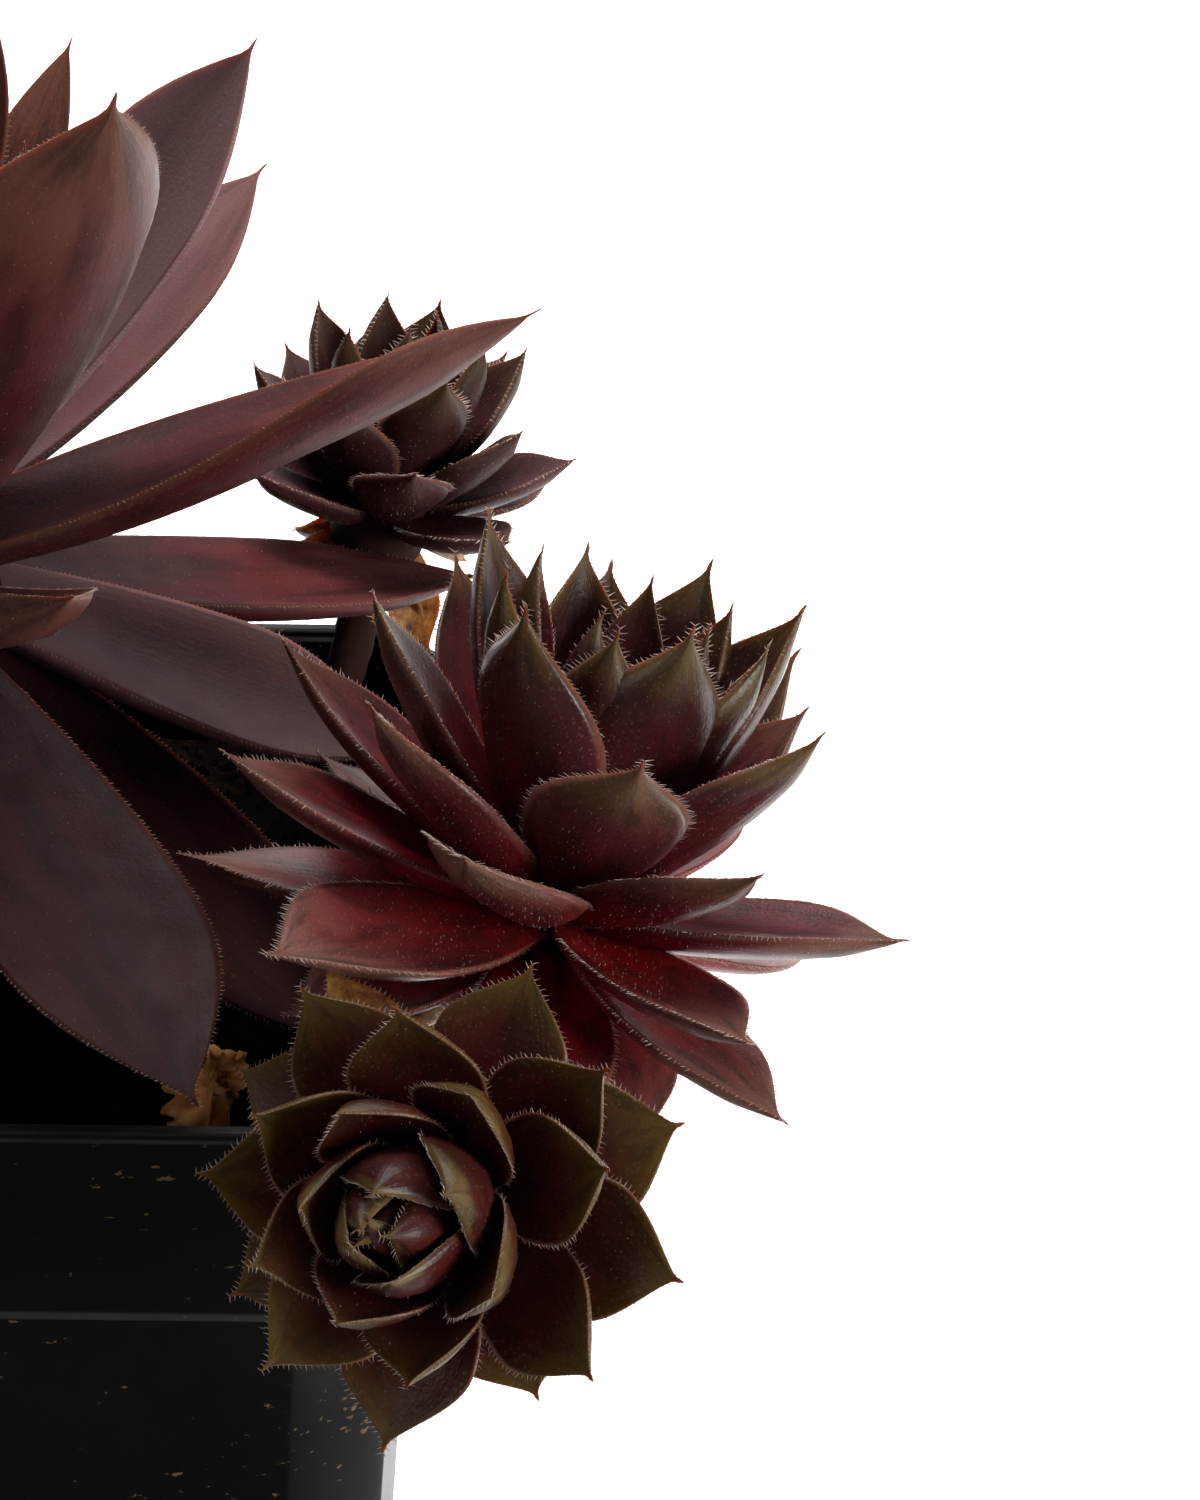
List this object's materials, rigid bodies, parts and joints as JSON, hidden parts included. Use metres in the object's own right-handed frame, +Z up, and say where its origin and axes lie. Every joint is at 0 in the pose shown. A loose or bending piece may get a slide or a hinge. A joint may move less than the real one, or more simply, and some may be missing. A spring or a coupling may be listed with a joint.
{
  "type": "potted houseleek",
  "caption": "Clump of maroon houseleek rosettes, a tall one with smaller offsets that lean over the rim of a square black nursery pot.",
  "frame": {"origin": "centre of the pot's underside, on the surface it stands on", "axes": "+Z up; -Y is the pot's front, which faces the picture's viewer; +X is to the viewer's right"},
  "size_m": [0.1415, 0.1296, 0.1723],
  "materials": {
    "pot_plastic": "moulded, slightly dusty",
    "potting_soil": "crumbly peat",
    "mother_leaf": "matt bloom over mauve brown",
    "offset_leaf": "satin maroon with fine hairs",
    "front_leaf": "satin olive and maroon with fine hairs",
    "dry_leaf": "dry and crumpled"
  },
  "bodies": {
    "root": {"pot": "pot_plastic", "soil": "potting_soil", "rosette_mother": "mother_leaf", "offset_right": "offset_leaf", "offset_front": "front_leaf", "offset_back": "offset_leaf", "offset_left_front": "front_leaf", "offset_left_back": "offset_leaf", "withered_leaf_front": "dry_leaf", "withered_leaf_right": "dry_leaf", "withered_leaf_left": "dry_leaf", "withered_leaf_back": "dry_leaf"}
  },
  "joints": []
}
